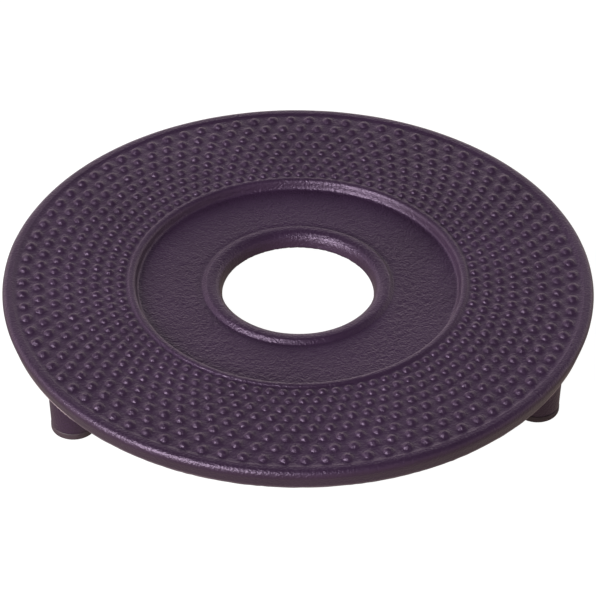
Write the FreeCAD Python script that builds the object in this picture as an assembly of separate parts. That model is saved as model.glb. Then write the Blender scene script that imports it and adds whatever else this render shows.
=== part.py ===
import FreeCAD, Part

# A round cast-iron trivet for a teapot. One iron casting carries the plate, the studded field and
# three short legs. Each leg ends in a rubber foot, whose stem is pressed into a socket in the iron.
# Millimetres. The origin is on the resting plane, on the plate's axis, and +Z is up.
# Legs stand at 90, 210 and 330 degrees from +X, so one leg points along +Y.

import math
import os

from FreeCAD import Vector

# Overall size
PLATE_R = 75.0          # widest radius of the plate
UNDERSIDE_Z = 12.8      # height of the flat underside above the table
FIELD_Z = 18.0          # height of the flat ground between the studs

# Rim: a smooth border, a little prouder than the ground
RIM_INNER_R = 71.7
RIM_TOP_Z = 18.3
RIM_BOTTOM_R = 73.9     # the side wall draws in from its upright land to the underside
RIM_LAND_Z = 16.4       # lower end of the upright land, where the rim is widest
RIM_EDGE_LEAN = 0.8     # how far the rim's inner edge leans, beside the studs
RIM_EDGE_ROUND = 0.8
RIM_TOP_ROUND = 1.4
RIM_LAND_ROUND = 3.0
RIM_BOTTOM_ROUND = 0.35

# Band: a narrow smooth ridge between the studs and the seat
BAND_INNER_R = 41.55
BAND_OUTER_R = 43.45
BAND_TOP_Z = 18.45
BAND_EDGE_LEAN = 0.5    # how far the band's outer edge leans, beside the studs
BAND_INNER_ROUND = 1.0
BAND_OUTER_ROUND = 0.6

# Seat: the sunken floor that the pot's foot stands in
SEAT_R = 40.75
SEAT_Z = 15.95
SEAT_CORNER_ROUND = 0.8

# Collar: a smooth raised ring round the centre hole
COLLAR_OUTER_R = 24.4
COLLAR_TOP_OUTER_R = 23.3
COLLAR_TOP_Z = 17.0
COLLAR_FOOT_ROUND = 0.6
COLLAR_TOP_ROUND = 1.0

# Centre hole: tapered, widest at the top
HOLE_TOP_R = 19.9
HOLE_BOTTOM_R = 19.2
HOLE_TOP_ROUND = 2.4
HOLE_BOTTOM_ROUND = 0.5

# Studs: rings of domes, each ring turned half a pitch from the one inside it
STUD_RINGS = 8
STUDS_PER_RING = 88
STUD_RING_R = 45.05     # radius of the innermost ring
STUD_RING_STEP = 3.11   # distance from the first ring to the second
STUD_STEP_GROWTH = 0.14  # how much each later step grows
STUD_R = 1.15           # base radius of an innermost stud
STUD_R_GROWTH = 0.045   # how much the base radius grows with each ring
STUD_HEIGHT_SHARE = 0.57  # height of a stud over its base radius

# Legs, cast in one with the plate
LEG_NAMES = ["rear", "left", "right"]  # in turn, from the first angle on
LEG_FIRST_ANGLE = 90.0
LEG_CIRCLE_R = 66.6     # radius of the circle through the legs' axes
LEG_BOTTOM_R = 5.6
LEG_TOP_R = 6.0
LEG_FLARE = 0.6         # radius of the concave root under the plate
LEG_EDGE = 0.25         # chamfer round the leg's lower end
LEG_ROOT = 1.0          # how far a leg's solid reaches into the plate, to join it

# Rubber feet, pressed into the legs
FOOT_PAD_R = 5.7
FOOT_PAD_HEIGHT = 2.0
FOOT_PAD_ROUND = 0.7
FOOT_PAD_TOP_ROUND = 0.23
STEM_R = 2.5
STEM_LENGTH = 5.0
STEM_TIP_CHAMFER = 0.5
SOCKET_SPARE = 0.6      # air left above the stem's tip
SOCKET_POINT = 0.9      # height of the drilled socket's conical end

FULL_TURN = 360.0
QUARTER_TURN = 90.0
AXIS_POINT = Vector(0, 0, 0)
UP = Vector(0, 0, 1)


def towards(start, end, distance):
    """The point at a distance from start, on the way to end."""
    return start + (end - start).normalize() * distance


def corner_arc(before, corner, after, radius):
    """The arc that rounds a corner between two straight sides."""
    to_before = (before - corner).normalize()
    to_after = (after - corner).normalize()
    half_angle = to_before.getAngle(to_after) / 2
    setback = radius / math.tan(half_angle)
    to_centre = (to_before + to_after).normalize()
    middle = corner + to_centre * (radius / math.sin(half_angle) - radius)
    start = towards(corner, before, setback)
    end = towards(corner, after, setback)
    return Part.Arc(start, middle, end).toShape(), start, end


def half_section(corners):
    """A closed face in the XZ plane, from (radius, height, rounding) corners."""
    points = [Vector(r, 0, z) for r, z, _ in corners]
    roundings = [rounding for _, _, rounding in corners]
    count = len(points)
    arcs = []
    entries = []
    exits = []
    for i in range(count):
        if roundings[i] > 0:
            arc, entry, leave = corner_arc(points[i - 1], points[i], points[(i + 1) % count], roundings[i])
        else:
            arc, entry, leave = None, points[i], points[i]
        arcs.append(arc)
        entries.append(entry)
        exits.append(leave)
    edges = []
    for i in range(count):
        if arcs[i]:
            edges.append(arcs[i])
        edges.append(Part.LineSegment(exits[i], entries[(i + 1) % count]).toShape())
    return Part.Face(Part.Wire(edges))


def turned(corners):
    """The solid swept by a half section round the Z axis."""
    return half_section(corners).revolve(AXIS_POINT, UP, FULL_TURN)


def plate():
    """The plate with its rim, band, seat, collar and tapered hole."""
    return turned([
        (HOLE_BOTTOM_R, UNDERSIDE_Z, HOLE_BOTTOM_ROUND),
        (RIM_BOTTOM_R, UNDERSIDE_Z, RIM_BOTTOM_ROUND),
        (PLATE_R, RIM_LAND_Z, RIM_LAND_ROUND),
        (PLATE_R, RIM_TOP_Z, RIM_TOP_ROUND),
        (RIM_INNER_R + RIM_EDGE_LEAN, RIM_TOP_Z, RIM_EDGE_ROUND),
        (RIM_INNER_R, FIELD_Z, 0),
        (BAND_OUTER_R, FIELD_Z, 0),
        (BAND_OUTER_R - BAND_EDGE_LEAN, BAND_TOP_Z, BAND_OUTER_ROUND),
        (BAND_INNER_R, BAND_TOP_Z, BAND_INNER_ROUND),
        (SEAT_R, SEAT_Z, SEAT_CORNER_ROUND),
        (COLLAR_OUTER_R, SEAT_Z, COLLAR_FOOT_ROUND),
        (COLLAR_TOP_OUTER_R, COLLAR_TOP_Z, COLLAR_TOP_ROUND),
        (HOLE_TOP_R, COLLAR_TOP_Z, HOLE_TOP_ROUND),
    ])


def polar(radius, degrees, height):
    """A point given by its distance from the axis, its angle from +X and its height."""
    angle = math.radians(degrees)
    return Vector(radius * math.cos(angle), radius * math.sin(angle), height)


def stud(base_r, place):
    """A sphere sunk in the ground, so that a dome with its base circle at place stands out."""
    height = base_r * STUD_HEIGHT_SHARE
    sphere_r = (base_r ** 2 + height ** 2) / (2 * height)
    ball = Part.makeSphere(sphere_r)
    ball.rotate(AXIS_POINT, Vector(0, 1, 0), QUARTER_TURN)  # the sphere's seam goes to its buried side
    ball.translate(place - UP * (sphere_r - height))
    return ball


def ring_radius(ring):
    """Radius of a ring of studs; the steps between rings grow outwards."""
    return STUD_RING_R + STUD_RING_STEP * ring + STUD_STEP_GROWTH * ring * (ring - 1) / 2


def studs():
    """All the studs, as separate solids ready to join to the plate."""
    made = []
    pitch = FULL_TURN / STUDS_PER_RING
    for ring in range(STUD_RINGS):
        half_turn = pitch / 2 * (ring % 2)
        base_r = STUD_R + STUD_R_GROWTH * ring
        for n in range(STUDS_PER_RING):
            made.append(stud(base_r, polar(ring_radius(ring), n * pitch + half_turn, FIELD_Z)))
    return made


def leg():
    """A tapered leg on the Z axis, with a concave root under the plate."""
    return turned([
        (0, FOOT_PAD_HEIGHT, 0),
        (LEG_BOTTOM_R - LEG_EDGE, FOOT_PAD_HEIGHT, 0),
        (LEG_BOTTOM_R, FOOT_PAD_HEIGHT + LEG_EDGE, 0),
        (LEG_TOP_R, UNDERSIDE_Z, LEG_FLARE),
        (LEG_TOP_R + LEG_FLARE, UNDERSIDE_Z, 0),
        (LEG_TOP_R + LEG_FLARE, UNDERSIDE_Z + LEG_ROOT, 0),
        (0, UNDERSIDE_Z + LEG_ROOT, 0),
    ])


def socket():
    """The blind hole up a leg that holds a foot's stem, as a solid to cut away."""
    top = FOOT_PAD_HEIGHT + STEM_LENGTH + SOCKET_SPARE
    return turned([
        (0, FOOT_PAD_HEIGHT, 0),
        (STEM_R, FOOT_PAD_HEIGHT, 0),
        (STEM_R, top, 0),
        (0, top + SOCKET_POINT, 0),
    ])


def rubber_foot():
    """A foot on the Z axis: a pad under the leg and a stem up into it."""
    stem_top = FOOT_PAD_HEIGHT + STEM_LENGTH
    return turned([
        (0, 0, 0),
        (FOOT_PAD_R, 0, FOOT_PAD_ROUND),
        (FOOT_PAD_R, FOOT_PAD_HEIGHT, FOOT_PAD_TOP_ROUND),
        (STEM_R, FOOT_PAD_HEIGHT, 0),
        (STEM_R, stem_top - STEM_TIP_CHAMFER, 0),
        (STEM_R - STEM_TIP_CHAMFER, stem_top, 0),
        (0, stem_top, 0),
    ])


def at_each_leg(shape):
    """Copies of a shape moved from the Z axis to each leg's axis."""
    copies = []
    count = len(LEG_NAMES)
    for n in range(count):
        copy = shape.copy()
        copy.translate(polar(LEG_CIRCLE_R, LEG_FIRST_ANGLE + n * FULL_TURN / count, 0))
        copies.append(copy)
    return copies


def casting():
    """The whole iron casting: plate, studs and legs in one, with a socket up each leg."""
    body = plate().fuse(at_each_leg(leg()))
    body = body.cut(Part.makeCompound(at_each_leg(socket())))
    return body.fuse(studs()).Solids[0]


def save(name, shape):
    shape.exportStep(os.path.join("parts", name + ".step"))


def main():
    os.makedirs("parts", exist_ok=True)
    save("iron_casting", casting())
    for name, foot in zip(LEG_NAMES, at_each_leg(rubber_foot())):
        save("rubber_foot_" + name, foot)


main()
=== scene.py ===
import math

import bmesh
import bpy
import numpy as np
from mathutils import Matrix, Vector, noise


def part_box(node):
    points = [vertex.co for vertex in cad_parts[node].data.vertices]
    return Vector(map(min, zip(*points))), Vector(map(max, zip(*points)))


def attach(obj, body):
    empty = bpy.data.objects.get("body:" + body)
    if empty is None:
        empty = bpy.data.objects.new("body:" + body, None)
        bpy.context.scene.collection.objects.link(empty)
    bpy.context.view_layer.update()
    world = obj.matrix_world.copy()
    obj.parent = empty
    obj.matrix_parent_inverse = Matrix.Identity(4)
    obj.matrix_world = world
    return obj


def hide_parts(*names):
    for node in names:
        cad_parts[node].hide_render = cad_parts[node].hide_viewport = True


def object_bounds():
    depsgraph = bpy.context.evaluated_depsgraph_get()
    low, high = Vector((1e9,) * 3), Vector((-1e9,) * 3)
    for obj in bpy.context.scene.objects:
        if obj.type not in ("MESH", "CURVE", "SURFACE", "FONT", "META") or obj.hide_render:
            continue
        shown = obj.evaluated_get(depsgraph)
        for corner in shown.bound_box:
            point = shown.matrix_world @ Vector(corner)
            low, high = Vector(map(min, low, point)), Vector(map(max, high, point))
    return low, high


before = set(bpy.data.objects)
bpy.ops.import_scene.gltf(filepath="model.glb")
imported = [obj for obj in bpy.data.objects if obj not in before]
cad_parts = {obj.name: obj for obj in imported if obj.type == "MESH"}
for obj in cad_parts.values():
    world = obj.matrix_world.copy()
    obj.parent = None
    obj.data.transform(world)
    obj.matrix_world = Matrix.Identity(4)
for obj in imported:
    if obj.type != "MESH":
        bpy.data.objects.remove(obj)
cad_low, cad_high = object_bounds()

# A cast-iron trivet: one studded iron casting on three legs, each with a rubber foot.
# Lengths are in metres. MM turns the millimetre sizes below into metres.
MM = 0.001
FULL_TURN = 2 * math.pi

# Heights of the casting's levels above the table
UNDERSIDE_Z = 12.8 * MM
SEAT_Z = 15.95 * MM
COLLAR_Z = 17.0 * MM
FIELD_Z = 18.0 * MM
BAND_Z = 18.45 * MM
RIM_Z = 18.3 * MM
RIM_LAND_Z = 16.4 * MM

# Radii, from the hole outwards
HOLE_BOTTOM_R = 19.2 * MM
HOLE_TOP_R = 19.9 * MM
COLLAR_TOP_R = 23.3 * MM
COLLAR_R = 24.4 * MM
SEAT_R = 40.75 * MM
BAND_INNER_R = 41.55 * MM
BAND_OUTER_R = 43.45 * MM
RIM_INNER_R = 71.7 * MM
RIM_BOTTOM_R = 73.9 * MM
PLATE_R = (cad_high.x - cad_low.x) / 2
BAND_EDGE_LEAN = 0.5 * MM   # how far the band's edge leans, beside the studs
RIM_EDGE_LEAN = 0.8 * MM    # and how far the rim's does

# Roundings of the plate's corners, from the band inwards to the bottom of the hole
BAND_OUTER_ROUND = 0.6 * MM
BAND_INNER_ROUND = 1.0 * MM
SEAT_CORNER_ROUND = 0.8 * MM
COLLAR_FOOT_ROUND = 0.6 * MM
COLLAR_TOP_ROUND = 1.0 * MM
HOLE_TOP_ROUND = 2.4 * MM
HOLE_BOTTOM_ROUND = 0.5 * MM

# And of the rim's corners, from the underside up and inwards
RIM_BOTTOM_ROUND = 0.35 * MM
RIM_LAND_ROUND = 3.0 * MM
RIM_TOP_ROUND = 1.4 * MM
RIM_EDGE_ROUND = 0.8 * MM

# Studs
RINGS = 8
STUDS = 88
RING_R = 45.05 * MM
RING_STEP = 3.11 * MM
RING_STEP_GROWTH = 0.14 * MM
STUD_R = 1.15 * MM
STUD_R_GROWTH = 0.045 * MM
STUD_HEIGHT_SHARE = 0.57
STUD_FILLET = 0.12 * MM
STUD_R_SPREAD = (0.95, 1.03)        # smallest and largest share of the nominal size, as cast
STUD_HEIGHT_SPREAD = (0.9, 1.0)
STUD_SHIFT = 0.07 * MM              # how far a stud may sit off its place, each way

# Mesh of the stud field: each stud stands in a square cell of ground
COLUMNS_PER_STUD = 4
COLUMNS = STUDS * COLUMNS_PER_STUD
LOOP_POINTS = 4 * COLUMNS_PER_STUD  # points round a cell, and round each loop of its stud
TOP_POINTS = LOOP_POINTS // 2       # points round the smallest loop, on the stud's top
CELL_CORNER = math.radians(225)     # direction of a cell's first corner from its stud
STUD_LOOP_SHARES = (1.0, 0.72, 0.4)  # how far down the dome each loop lies, from its foot up
TOP_LOOP_RISE = 0.75                # height of the smallest loop between the one below and the tip

# Legs and feet
LEG_ANGLES = {"rear": 90.0, "left": 210.0, "right": 330.0}
LEG_CIRCLE_R = 66.6 * MM
LEG_BOTTOM_R = 5.6 * MM
LEG_TOP_R = 6.0 * MM
LEG_FLARE = 0.6 * MM
LEG_EDGE = 0.25 * MM
FOOT_R = 5.7 * MM
FOOT_HEIGHT = 2.0 * MM
FOOT_ROUND = 0.7 * MM
STEM_R = 2.5 * MM
STEM_LENGTH = 5.0 * MM
SOCKET_TOP_Z = 7.6 * MM
SOCKET_POINT_Z = 8.5 * MM
SOCKET_TIP_R = 0.4 * MM     # radius at which a fan closes the socket's cone
STEM_FOOT_ROUND = 0.1 * MM  # rounding of the corner under the leg, and of the socket's
STEM_TIP_ROUND = 0.5 * MM
FOOT_TOP_ROUND = FOOT_ROUND / 3
FOOT_FAN_R = 0.5 * MM       # radius at which fans close a foot's two ends
LEG_COLUMNS = 14        # width of the patch of underside mesh round a leg, in columns
LEG_ROWS = 10           # and its length, in rows
LEG_PATCH_INNER_R = 58.8 * MM
LEG_PATCH_OUTER_R = 73.3 * MM

# Spacing of the mesh
SEAT_ROW = 0.5 * MM
RIM_ROW = 0.8 * MM
LEG_ROW = 2.5 * MM
UNDERSIDE_START_R = 20.2 * MM
UNDERSIDE_ROWS = 6
FOOT_SIDES = 48
RIM_ARC_STEPS = 4
FOOT_ARC_STEPS = 5
SHARP_ANGLE = math.radians(50)  # edges sharper than this aren't shaded smooth

# Cast skin: a scale is roughly how many bumps there are in a metre
WAVE_HEIGHT = 0.03 * MM
WAVE_SCALE = 160.0
WRINKLE_HEIGHT = 0.11 * MM
WRINKLE_SCALE = 900
WRINKLE_SHARE = 0.6     # how much of the skin is wrinkles, the rest being finer bumps
FINE_SCALE = 1900
WARP_SCALE = 420        # the wrinkles are bent out of line by a coarser noise
WARP_STRENGTH = 0.55
GRAIN_BLEND = 1.6 * MM  # the skin fades out over this distance from the seat's two walls
LEG_GRAIN = 0.4
LEVEL_SLACK = 0.1 * MM  # how close to the underside's height counts as on it
# Painted highlight: a pale line along the plate's lower outer edge, painted into the lacquer's colour in
# place of the table's glint there
GLINT_WIDTH = 0.3 * MM
GLINT_NEAR = 9.0 * MM    # distance from a leg's axis within which the painted highlight on the edge is strongest
GLINT_FAR = 16.0 * MM    # and beyond which it shows only in patches
GLINT_ELSEWHERE = 0.35   # and how strongly, next to the legs' places
GLINT_PATCH_SCALE = 90.0
EDGE_SLACK = 0.01 * MM  # how far below the underside's height still counts as its edge
SEED = 7

# Finish
LACQUER_DARK = (0.019, 0.008, 0.022, 1)
LACQUER_LIGHT = (0.027, 0.012, 0.032, 1)
SHEEN_TINT = (0.95, 0.74, 1.0, 1)
SHEEN_LEVEL = 0.75
# colour of the painted highlight along the plate's lower edge
LACQUER_EDGE_GLINT = (0.45, 0.36, 0.39, 1)
ROUGHNESS = 0.34
ROUGHNESS_SPREAD = 0.12
CLOUD_SCALE = 45.0
SPECKLE_SCALE = 1500.0
SKIN_BUMP = 0.2 * MM
SKIN_SCALE = 1800.0
LEATHER_BUMP = 0.22 * MM
LEATHER_SCALE = 620.0
LEATHER_DISTORTION = 1.2
TONE_STOPS = (0.3, 0.7)     # noise levels at which a tone is fully dark and fully light
RUBBER_DARK = (0.036, 0.022, 0.030, 1)
RUBBER_LIGHT = (0.054, 0.034, 0.044, 1)
RUBBER_ROUGHNESS = 0.5
RUBBER_ROUGHNESS_SPREAD = 0.2
RUBBER_SCALE = 700.0
RUBBER_BUMP = 0.05 * MM

# Studio
PLATE_CENTRE = Vector((0, 0, FIELD_Z + 0.2 * MM))   # what the lamp and the camera are set round
TABLE_HALF = 20.0                           # half the table's width, enough to reach the horizon
TABLE_PAINT = (0.1, 0.1, 0.1, 1)
TABLE_SEEN = (1, 1, 1, 1)                   # how bright the lit table looks to the camera
TABLE_REFLECTED = (0.32, 0.26, 0.21, 1)     # and how bright and warm it is as a light on the casting
SKY_STOPS = [                       # colour by the sine of the height above the horizon
    (0.0, (1.5, 1.30, 1.20, 1)),
    (0.16, (1.15, 1.00, 1.02, 1)),
    (0.40, (0.44, 0.38, 0.46, 1)),
    (0.62, (0.20, 0.168, 0.22, 1)),
    (0.78, (0.06, 0.052, 0.068, 1)),
    (1.0, (0.025, 0.022, 0.03, 1)),
]
SKY_STRENGTH = 1.7
FRONT_SHARE = 0.25      # how bright the sky is on the viewer's side, next to the far side
LAMP_DISTANCE = 1.2
CAMERA_AZIMUTH = -3.77
CAMERA_ELEVATION = 38.0
CAMERA_DISTANCE = 0.7934
CAMERA_LENS = 188.7
CAMERA_SENSOR = 36.0
CAMERA_DROP = 0.374     # degrees that the camera aims below the plate's centre
CAMERA_ROLL = 0.34      # degrees that the camera leans


class Skin:
    """Points and faces of one surface, gathered loop by loop."""

    def __init__(self):
        self.points = []
        self.faces = []

    def loop(self, points):
        """Adds points and returns their numbers."""
        first = len(self.points)
        self.points.extend(points)
        return list(range(first, len(self.points)))

    def strip(self, below, above):
        """Quads between two closed loops of as many points, turning the same way."""
        count = len(below)
        for k in range(count):
            after = (k + 1) % count
            self.faces.append((below[k], below[after], above[after], above[k]))

    def fan(self, rim, tip):
        """Triangles from a closed loop to one point."""
        count = len(rim)
        for k in range(count):
            self.faces.append((rim[k], rim[(k + 1) % count], tip))

    def object(self, name):
        """The surface as a smooth-shaded object in the scene."""
        mesh = bpy.data.meshes.new(name)
        mesh.from_pydata([tuple(p) for p in self.points], [], self.faces)
        mesh.validate()
        mesh.update()
        mesh.shade_smooth()
        made = bpy.data.objects.new(name, mesh)
        bpy.context.scene.collection.objects.link(made)
        return made


def polar(radius, angle, z):
    return Vector((radius * math.cos(angle), radius * math.sin(angle), z))


def rounded(corners, arc_steps=3):
    """Points along a line through (radius, height, rounding) corners, with each rounding as an arc."""
    points = [Vector((r, z)) for r, z, _ in corners]
    line = [points[0]]
    for i in range(1, len(corners) - 1):
        rounding = corners[i][2]
        corner = points[i]
        to_before = (points[i - 1] - corner).normalized()
        to_after = (points[i + 1] - corner).normalized()
        half = to_before.angle(to_after) / 2
        centre = corner + (to_before + to_after).normalized() * rounding / math.sin(half)
        start = corner + to_before * rounding / math.tan(half) - centre
        end = corner + to_after * rounding / math.tan(half) - centre
        sweep = start.angle_signed(end)
        for step in range(arc_steps + 1):
            turn = -sweep * step / arc_steps
            cos, sin = math.cos(turn), math.sin(turn)
            line.append(centre + Vector((start.x * cos - start.y * sin, start.x * sin + start.y * cos)))
    line.append(points[-1])
    return line


def spaced(line, longest):
    """The same line with points added so that no stretch is longer than longest."""
    dense = [line[0]]
    for start, end in zip(line, line[1:]):
        parts = max(1, math.ceil((end - start).length / longest))
        for k in range(1, parts + 1):
            dense.append(start.lerp(end, k / parts))
    return dense


def ring_of(skin, point):
    """A closed loop round the Z axis through a (radius, height) point."""
    radius, height = point
    return skin.loop([polar(radius, k * FULL_TURN / COLUMNS, height) for k in range(COLUMNS)])


def lathe(skin, line, first=None):
    """Rings through the points of a line, joined by strips. Returns the rings.
    A first ring, where given, is used for the line's first point."""
    rings = [first or ring_of(skin, line[0])]
    for point in line[1:]:
        rings.append(ring_of(skin, point))
    for below, above in zip(rings, rings[1:]):
        skin.strip(below, above)
    return rings


def stud_ring_radius(ring):
    return RING_R + RING_STEP * ring + RING_STEP_GROWTH * ring * (ring - 1) / 2


def cell_edges():
    """Radii of the circles between the rings of studs, from the band to the rim."""
    middles = [(stud_ring_radius(i) + stud_ring_radius(i + 1)) / 2 for i in range(RINGS - 1)]
    return [BAND_OUTER_R] + middles + [RIM_INNER_R]


def stud_loops(base_r, height):
    """(radius, height) of a stud's loops, from its foot's fillet to near its top, then the sphere."""
    sphere_r = (base_r ** 2 + height ** 2) / (2 * height)
    depth = sphere_r - height
    reach = sphere_r + STUD_FILLET
    foot_r = math.sqrt(reach ** 2 - (depth + STUD_FILLET) ** 2)
    slope = math.acos((depth + STUD_FILLET) / reach)
    loops = [(foot_r, 0.0)]
    for share in STUD_LOOP_SHARES:
        loops.append((sphere_r * math.sin(slope * share), sphere_r * math.cos(slope * share) - depth))
    return loops


def stud_loop(skin, centre, side_t, side_r, radius, rise, count):
    """A closed loop of points round a stud, from its cell's first corner on."""
    lift = Vector((0, 0, rise))
    angles = [CELL_CORNER + k * FULL_TURN / count for k in range(count)]
    return skin.loop([centre + (side_t * math.cos(a) + side_r * math.sin(a)) * radius + lift for a in angles])


def close_top(skin, border, inner, tip):
    """A 4 by 4 patch of quads inside a stud's last full loop: four quads in each quarter."""
    for quarter in range(4):
        b = quarter * 4
        i = quarter * 2
        skin.faces.append((border[b], border[b + 1], inner[i], border[b - 1]))
        skin.faces.append((border[b + 1], border[b + 2], inner[i + 1], inner[i]))
        last = inner[(i + 2) % TOP_POINTS]
        skin.faces.append((border[b + 2], border[(b + 3) % LOOP_POINTS], last, inner[i + 1]))
        skin.faces.append((inner[i], inner[i + 1], tip, inner[i - 1]))


def stud_cell(skin, border, ring, angle, vary):
    """One stud on its cell of ground; border is the cell's outline."""
    side_r = polar(1, angle, 0)
    side_t = polar(1, angle + math.pi / 2, 0) * -1
    nominal_r = STUD_R + STUD_R_GROWTH * ring
    base_r = nominal_r * vary.uniform(*STUD_R_SPREAD)
    height = nominal_r * STUD_HEIGHT_SHARE * vary.uniform(*STUD_HEIGHT_SPREAD)
    shift_r = side_r * vary.uniform(-STUD_SHIFT, STUD_SHIFT)
    shift_t = side_t * vary.uniform(-STUD_SHIFT, STUD_SHIFT)
    centre = polar(stud_ring_radius(ring), angle, FIELD_Z) + shift_r + shift_t
    outer = border
    for radius, rise in stud_loops(base_r, height):
        inner = stud_loop(skin, centre, side_t, side_r, radius, rise, LOOP_POINTS)
        skin.strip(outer, inner)
        outer = inner
    top_rise = rise + (height - rise) * TOP_LOOP_RISE
    inner = stud_loop(skin, centre, side_t, side_r, radius / 2, top_rise, TOP_POINTS)
    tip = skin.loop([centre + Vector((0, 0, height))])[0]
    close_top(skin, outer, inner, tip)


def stud_field(skin, first_ring, last_ring):
    """Every stud with the ground between them, joined to the band's and the rim's rings."""
    vary = np.random.RandomState(SEED)
    edges = cell_edges()
    circles = [first_ring]
    for radius in edges[1:-1]:
        circles.append(ring_of(skin, (radius, FIELD_Z)))
    circles.append(last_ring)
    column_angle = FULL_TURN / COLUMNS
    for ring in range(RINGS):
        offset = COLUMNS_PER_STUD // 2 * (ring % 2) - COLUMNS_PER_STUD // 2
        spokes = []
        for n in range(STUDS):
            angle = (n * COLUMNS_PER_STUD + offset) * column_angle
            radii = np.linspace(edges[ring], edges[ring + 1], COLUMNS_PER_STUD + 1)[1:-1]
            spokes.append(skin.loop([polar(r, angle, FIELD_Z) for r in radii]))
        for n in range(STUDS):
            column = n * COLUMNS_PER_STUD + offset
            arc = [(column + k) % COLUMNS for k in range(COLUMNS_PER_STUD + 1)]
            inside = [circles[ring][c] for c in arc]
            outside = [circles[ring + 1][c] for c in arc]
            after = spokes[(n + 1) % STUDS]
            border = inside[::-1] + spokes[n] + outside + after[::-1]
            angle = (column + COLUMNS_PER_STUD / 2) * column_angle
            stud_cell(skin, border, ring, angle, vary)


def upper_line():
    """The band, seat, collar and hole, from the stud field's inner edge down to the underside."""
    return spaced(rounded([
        (BAND_OUTER_R, FIELD_Z, 0),
        (BAND_OUTER_R - BAND_EDGE_LEAN, BAND_Z, BAND_OUTER_ROUND),
        (BAND_INNER_R, BAND_Z, BAND_INNER_ROUND),
        (SEAT_R, SEAT_Z, SEAT_CORNER_ROUND),
        (COLLAR_R, SEAT_Z, COLLAR_FOOT_ROUND),
        (COLLAR_TOP_R, COLLAR_Z, COLLAR_TOP_ROUND),
        (HOLE_TOP_R, COLLAR_Z, HOLE_TOP_ROUND),
        (HOLE_BOTTOM_R, UNDERSIDE_Z, HOLE_BOTTOM_ROUND),
        (UNDERSIDE_START_R, UNDERSIDE_Z, 0),
    ]), SEAT_ROW)


def rim_line():
    """The rim, from the underside up its side and over to the stud field's outer edge."""
    return spaced(rounded([
        (LEG_PATCH_OUTER_R, UNDERSIDE_Z, 0),
        (RIM_BOTTOM_R, UNDERSIDE_Z, RIM_BOTTOM_ROUND),
        (PLATE_R, RIM_LAND_Z, RIM_LAND_ROUND),
        (PLATE_R, RIM_Z, RIM_TOP_ROUND),
        (RIM_INNER_R + RIM_EDGE_LEAN, RIM_Z, RIM_EDGE_ROUND),
        (RIM_INNER_R, FIELD_Z, 0),
    ], RIM_ARC_STEPS), RIM_ROW)


def leg_line():
    """A leg, from the underside down to its end and up its socket."""
    return spaced(rounded([
        (LEG_TOP_R + LEG_FLARE, UNDERSIDE_Z, 0),
        (LEG_TOP_R, UNDERSIDE_Z, LEG_FLARE),
        (LEG_BOTTOM_R, FOOT_HEIGHT, LEG_EDGE),
        (STEM_R, FOOT_HEIGHT, STEM_FOOT_ROUND),
        (STEM_R, SOCKET_TOP_Z, STEM_FOOT_ROUND),
        (SOCKET_TIP_R, SOCKET_POINT_Z, 0),
    ]), LEG_ROW)


def leg_skin(skin, rings, angle):
    """A leg joined to the hole left for it in the underside's rings. Returns the hole's columns."""
    middle = round(angle / FULL_TURN * COLUMNS)
    columns = [(middle + k) % COLUMNS for k in range(-LEG_COLUMNS // 2, LEG_COLUMNS // 2 + 1)]
    inner_side = [rings[0][c] for c in columns]
    outer_side = [rings[-1][c] for c in columns]
    low_side = [ring[columns[0]] for ring in rings[1:-1]]
    high_side = [ring[columns[-1]] for ring in rings[1:-1]]
    border = inner_side + high_side + outer_side[::-1] + low_side[::-1]
    count = len(border)
    centre = polar(LEG_CIRCLE_R, angle, 0)
    step = FULL_TURN / count
    start = angle + math.pi + LEG_COLUMNS / 2 * step
    below = border
    for radius, height in leg_line():
        above = skin.loop([centre + polar(radius, start - k * step, height) for k in range(count)])
        skin.strip(below, above)
        below = above
    tip = skin.loop([centre + Vector((0, 0, SOCKET_POINT_Z))])[0]
    skin.fan(below, tip)
    return set(columns[:-1])


def underside(skin, first_ring):
    """The flat underside with its three legs. Returns its outermost ring."""
    middle_radii = np.linspace(UNDERSIDE_START_R, LEG_PATCH_INNER_R, UNDERSIDE_ROWS + 1)
    middle = lathe(skin, [(radius, UNDERSIDE_Z) for radius in middle_radii], first_ring)
    patch = [middle[-1]]
    for radius in np.linspace(LEG_PATCH_INNER_R, LEG_PATCH_OUTER_R, LEG_ROWS + 1)[1:]:
        patch.append(ring_of(skin, (radius, UNDERSIDE_Z)))
    taken = set()
    for degrees in LEG_ANGLES.values():
        taken |= leg_skin(skin, patch, math.radians(degrees))
    for below, above in zip(patch, patch[1:]):
        for c in range(COLUMNS):
            if c not in taken:
                after = (c + 1) % COLUMNS
                skin.faces.append((below[c], below[after], above[after], above[c]))
    return patch[-1]


def smoothstep(low, high, x):
    t = min(max((x - low) / (high - low), 0.0), 1.0)
    return t * t * (3 - 2 * t)


def between(low, high, blend, x):
    """1 between low and high, falling to 0 over a blend inside them."""
    return smoothstep(low, low + blend, x) * (1 - smoothstep(high - blend, high, x))


def grain_at(point):
    """How strongly the sand's grain shows on the casting at a point."""
    radius = math.hypot(point.x, point.y)
    if point.z < UNDERSIDE_Z - LEVEL_SLACK:
        return LEG_GRAIN
    if point.z < UNDERSIDE_Z + LEVEL_SLACK:
        return 1.0
    return between(COLLAR_R, BAND_INNER_R, GRAIN_BLEND, radius)


def painted_glint_at(point):
    """How strongly the painted highlight, a pale line standing in for the table's glint, shows at a point.
    It is painted only along the plate's lower outer edge, and most of all by the legs."""
    radius = math.hypot(point.x, point.y)
    height = point.z - UNDERSIDE_Z
    if radius < RIM_BOTTOM_R - GLINT_WIDTH or not -EDGE_SLACK < height < GLINT_WIDTH:
        return 0.0
    legs = [polar(LEG_CIRCLE_R, math.radians(degrees), point.z) for degrees in LEG_ANGLES.values()]
    nearest = min((point - leg).length for leg in legs)
    patches = 0.5 + 0.5 * noise.noise(point * GLINT_PATCH_SCALE)  # 0 to 1
    return max(1 - smoothstep(GLINT_NEAR, GLINT_FAR, nearest), GLINT_ELSEWHERE * patches)


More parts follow.
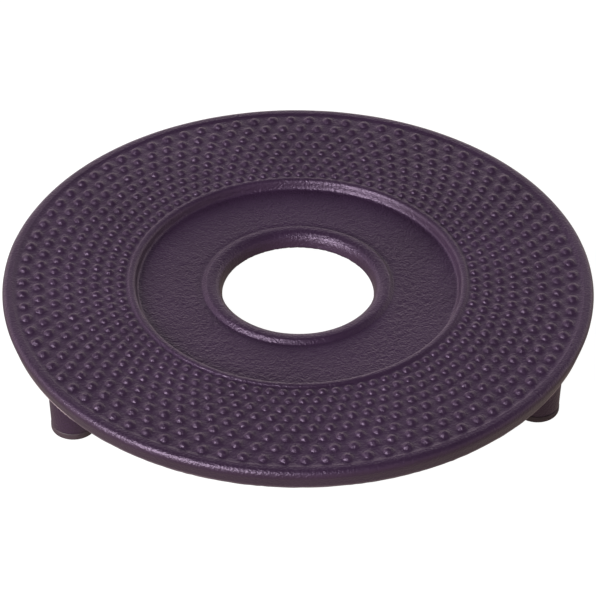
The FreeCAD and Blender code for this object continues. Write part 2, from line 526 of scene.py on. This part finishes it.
def wrinkles(point):
    """Height of the cast skin's wrinkles at a point, about -1 to 1."""
    warp = noise.noise_vector(point * WARP_SCALE) * WARP_STRENGTH
    ridged = 1 - 2 * abs(noise.noise(point * WRINKLE_SCALE + warp))
    return WRINKLE_SHARE * ridged + (1 - WRINKLE_SHARE) * noise.noise(point * FINE_SCALE)


def vertex_values(mesh, name):
    """A vertex property, "co" or "normal", as rows of three numbers."""
    values = np.zeros(len(mesh.vertices) * 3, np.float32)
    mesh.vertices.foreach_get(name, values)
    return values.reshape(-1, 3)


def roughen(piece):
    """Moves the casting's points a little along their normals and records its grain and its painted edge
    highlight.
    The points stay inside the CAD casting's box, so the wobble never adds to its size."""
    mesh = piece.data
    noise.seed_set(SEED)
    places = [Vector(row) for row in vertex_values(mesh, "co")]
    amounts = np.array([grain_at(place) for place in places], np.float32)
    edge_glint = np.array([painted_glint_at(place) for place in places], np.float32)
    mesh.attributes.new("grain", "FLOAT", "POINT").data.foreach_set("value", amounts)
    # the painted highlight along the lower edge is kept on the points for the lacquer's colour
    mesh.attributes.new("painted_glint", "FLOAT", "POINT").data.foreach_set("value", edge_glint)
    waves = np.array([noise.noise(place * WAVE_SCALE) for place in places])
    ripples = np.array([a * wrinkles(place) if a else 0.0 for a, place in zip(amounts, places)])
    rise = waves * WAVE_HEIGHT + ripples * WRINKLE_HEIGHT
    moved = np.array(places) + vertex_values(mesh, "normal") * rise[:, None]
    low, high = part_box("iron_casting")
    moved = np.clip(moved, np.array(low), np.array(high))
    mesh.vertices.foreach_set("co", moved.astype(np.float32).ravel())
    mesh.update()


def outward(piece):
    """Turns all of a closed piece's faces outwards, and drops the points that no face uses."""
    work = bmesh.new()
    work.from_mesh(piece.data)
    bmesh.ops.delete(work, geom=[point for point in work.verts if not point.link_faces], context="VERTS")
    bmesh.ops.recalc_face_normals(work, faces=work.faces)
    work.to_mesh(piece.data)
    work.free()


def casting():
    """The whole casting as one closed surface, with its cast skin."""
    skin = Skin()
    upper = lathe(skin, upper_line())
    patch_edge = underside(skin, upper[-1])
    rim = lathe(skin, rim_line(), patch_edge)
    stud_field(skin, upper[0], rim[-1])
    piece = skin.object("iron_body")
    outward(piece)
    roughen(piece)
    piece.data.set_sharp_from_angle(angle=SHARP_ANGLE)
    return piece


def foot(name, angle):
    """A rubber foot: a pad with a rounded edge, and the stem inside the leg."""
    skin = Skin()
    centre = polar(LEG_CIRCLE_R, angle, 0)
    line = spaced(rounded([
        (FOOT_FAN_R, 0, 0),
        (FOOT_R, 0, FOOT_ROUND),
        (FOOT_R, FOOT_HEIGHT, FOOT_TOP_ROUND),
        (STEM_R, FOOT_HEIGHT, STEM_FOOT_ROUND),
        (STEM_R, FOOT_HEIGHT + STEM_LENGTH, STEM_TIP_ROUND),
        (FOOT_FAN_R, FOOT_HEIGHT + STEM_LENGTH, 0),
    ], FOOT_ARC_STEPS), LEG_ROW)
    angles = [k * FULL_TURN / FOOT_SIDES for k in range(FOOT_SIDES)]
    rings = []
    for radius, height in line:
        rings.append(skin.loop([centre + polar(radius, a, height) for a in angles]))
    for below, above in zip(rings, rings[1:]):
        skin.strip(below, above)
    skin.fan(rings[0], skin.loop([centre])[0])
    skin.fan(rings[-1], skin.loop([centre + Vector((0, 0, line[-1].y))])[0])
    piece = skin.object(name)
    outward(piece)
    piece.data.set_sharp_from_angle(angle=SHARP_ANGLE)
    return piece


def add_node(tree, kind, **inputs):
    """A shader node with its inputs set: a value is stored, a socket is linked."""
    made = tree.nodes.new(kind)
    for name, value in inputs.items():
        socket = made.inputs[name.replace("_", " ")]
        if isinstance(value, bpy.types.NodeSocket):
            tree.links.new(value, socket)
        else:
            socket.default_value = value
    return made


def ramp(tree, factor, stops):
    """A colour ramp through (position, colour) stops."""
    made = add_node(tree, "ShaderNodeValToRGB", Fac=factor)
    elements = made.color_ramp.elements
    elements[0].position, elements[0].color = stops[0]
    elements[1].position, elements[1].color = stops[-1]
    for position, colour in stops[1:-1]:
        elements.new(position).color = colour
    return made.outputs["Color"]


def math_node(tree, operation, first, second):
    """The result of an operation on two inputs: a number is stored, a socket is linked."""
    made = tree.nodes.new("ShaderNodeMath")
    made.operation = operation
    for socket, value in zip(made.inputs, (first, second)):
        if isinstance(value, bpy.types.NodeSocket):
            tree.links.new(value, socket)
        else:
            socket.default_value = value
    return made.outputs[0]


def multiply_add(tree, value, factor, offset):
    made = math_node(tree, "MULTIPLY_ADD", value, factor)
    made.node.inputs[2].default_value = offset
    return made


def mix(tree, factor, first, second):
    """A colour between two: a colour is stored, a socket is linked."""
    return add_node(tree, "ShaderNodeMixRGB", Fac=factor, Color1=first, Color2=second).outputs["Color"]


def attribute(tree, name):
    """A value stored on the mesh's points."""
    made = tree.nodes.new("ShaderNodeAttribute")
    made.attribute_name = name
    return made.outputs["Fac"]


def noise_of(tree, place, scale, detail):
    """A procedural noise, about 0 to 1."""
    return add_node(tree, "ShaderNodeTexNoise", Vector=place, Scale=scale, Detail=detail).outputs["Fac"]


def two_tone(tree, factor, dark, light):
    """A tone that goes from dark to light with a noise."""
    low, high = TONE_STOPS
    return ramp(tree, factor, [(low, dark), (high, light)])


def new_material(name):
    """An empty node material, its tree and its principled shader."""
    material = bpy.data.materials.new(name)
    material.use_nodes = True
    tree = material.node_tree
    return material, tree, tree.nodes["Principled BSDF"]


def iron_material():
    """Dark aubergine lacquer over cast iron: cloudy tone, fine grain, satin sheen, and a painted highlight
    along the lower edge.
    """
    material, tree, shader = new_material("lacquered_iron")
    place = tree.nodes.new("ShaderNodeTexCoord").outputs["Object"]
    clouds = noise_of(tree, place, CLOUD_SCALE, 5.0)
    tone = two_tone(tree, clouds, LACQUER_DARK, LACQUER_LIGHT)
    # the painted highlight lightens the lacquer along the plate's lower edge
    tone = mix(tree, attribute(tree, "painted_glint"), tone, LACQUER_EDGE_GLINT)
    tree.links.new(tone, shader.inputs["Base Color"])
    shader.inputs["Specular Tint"].default_value = SHEEN_TINT
    shader.inputs["Specular IOR Level"].default_value = SHEEN_LEVEL
    speckle = noise_of(tree, place, SPECKLE_SCALE, 3.0)
    tree.links.new(multiply_add(tree, speckle, ROUGHNESS_SPREAD, ROUGHNESS), shader.inputs["Roughness"])
    fine = noise_of(tree, place, SKIN_SCALE, 2.0)
    skin = add_node(tree, "ShaderNodeBump", Height=fine, Strength=1.0, Distance=SKIN_BUMP).outputs["Normal"]
    folds = noise_of(tree, place, LEATHER_SCALE, 2.0)
    folds.node.inputs["Distortion"].default_value = LEATHER_DISTORTION
    leather = math_node(tree, "MULTIPLY", folds, attribute(tree, "grain"))
    bump = add_node(tree, "ShaderNodeBump", Height=leather, Strength=1.0, Distance=LEATHER_BUMP, Normal=skin)
    tree.links.new(bump.outputs["Normal"], shader.inputs["Normal"])
    return material


def rubber_material():
    """Matt dark brown rubber with a faint mottle."""
    material, tree, shader = new_material("foot_rubber")
    place = tree.nodes.new("ShaderNodeTexCoord").outputs["Object"]
    mottle = noise_of(tree, place, RUBBER_SCALE, 4.0)
    tree.links.new(two_tone(tree, mottle, RUBBER_DARK, RUBBER_LIGHT), shader.inputs["Base Color"])
    roughness = multiply_add(tree, mottle, RUBBER_ROUGHNESS_SPREAD, RUBBER_ROUGHNESS)
    tree.links.new(roughness, shader.inputs["Roughness"])
    bump = add_node(tree, "ShaderNodeBump", Height=mottle, Strength=0.3, Distance=RUBBER_BUMP)
    tree.links.new(bump.outputs["Normal"], shader.inputs["Normal"])
    return material


def floor():
    """A plain white lit table, wide enough to meet the horizon."""
    mesh = bpy.data.meshes.new("floor")
    half = TABLE_HALF
    corners = [(-half, -half, 0), (half, -half, 0), (half, half, 0), (-half, half, 0)]
    mesh.from_pydata(corners, [], [(0, 1, 2, 3)])
    made = bpy.data.objects.new("floor", mesh)
    bpy.context.scene.collection.objects.link(made)
    material, tree, shader = new_material("floor_white")
    shader.inputs["Base Color"].default_value = TABLE_PAINT
    shader.inputs["Roughness"].default_value = 1.0
    shader.inputs["Specular IOR Level"].default_value = 0.0
    seen = tree.nodes.new("ShaderNodeLightPath").outputs["Is Camera Ray"]
    tree.links.new(mix(tree, seen, TABLE_REFLECTED, TABLE_SEEN), shader.inputs["Emission Color"])
    shader.inputs["Emission Strength"].default_value = 1.0
    made.data.materials.append(material)


def sky():
    """A warm white horizon that darkens overhead and towards the viewer."""
    world = bpy.data.worlds.new("studio")
    bpy.context.scene.world = world
    world.use_nodes = True
    tree = world.node_tree
    direction = tree.nodes.new("ShaderNodeTexCoord").outputs["Generated"]
    parts = add_node(tree, "ShaderNodeSeparateXYZ", Vector=direction)
    tone = ramp(tree, parts.outputs["Z"], SKY_STOPS)
    tree.links.new(tone, tree.nodes["Background"].inputs["Color"])
    slope = (1 - FRONT_SHARE) / 2
    strength = multiply_add(tree, parts.outputs["Y"], slope * SKY_STRENGTH, (1 - slope) * SKY_STRENGTH)
    tree.links.new(strength, tree.nodes["Background"].inputs["Strength"])


def direction_of(azimuth, elevation):
    """The way out from the plate. Azimuth 0 is the viewer's side, and 90 the right."""
    side, rise = math.radians(azimuth), math.radians(elevation)
    return Vector((math.sin(side) * math.cos(rise), -math.cos(side) * math.cos(rise), math.sin(rise)))


def lamp(name, azimuth, elevation, size, power):
    """A square soft light aimed at the plate."""
    data = bpy.data.lights.new(name, "AREA")
    data.size = size
    data.energy = power
    made = bpy.data.objects.new(name, data)
    bpy.context.scene.collection.objects.link(made)
    away = direction_of(azimuth, elevation)
    made.location = PLATE_CENTRE + away * LAMP_DISTANCE
    made.rotation_euler = away.to_track_quat("Z", "Y").to_euler()


def camera():
    """The view from in front and above, through a long lens."""
    data = bpy.data.cameras.new("camera")
    data.lens = CAMERA_LENS
    data.sensor_width = CAMERA_SENSOR
    made = bpy.data.objects.new("camera", data)
    bpy.context.scene.collection.objects.link(made)
    away = direction_of(CAMERA_AZIMUTH, CAMERA_ELEVATION)
    made.location = PLATE_CENTRE + away * CAMERA_DISTANCE
    facing = away.to_track_quat("Z", "Y").to_matrix()
    tilt = Matrix.Rotation(math.radians(-CAMERA_DROP), 3, "X")
    roll = Matrix.Rotation(math.radians(CAMERA_ROLL), 3, "Z")
    made.rotation_euler = (facing @ tilt @ roll).to_euler()
    bpy.context.scene.camera = made


iron = casting()
iron.data.materials.append(iron_material())
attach(iron, "root")
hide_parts("iron_casting")

rubber = rubber_material()
for leg_name, degrees in LEG_ANGLES.items():
    pad = foot("foot_" + leg_name, math.radians(degrees))
    pad.data.materials.append(rubber)
    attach(pad, "root")
    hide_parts("rubber_foot_" + leg_name)

floor()
sky()
lamp("key", azimuth=-48, elevation=30, size=0.72, power=24)
camera()
bpy.context.scene.view_settings.view_transform = "Standard"
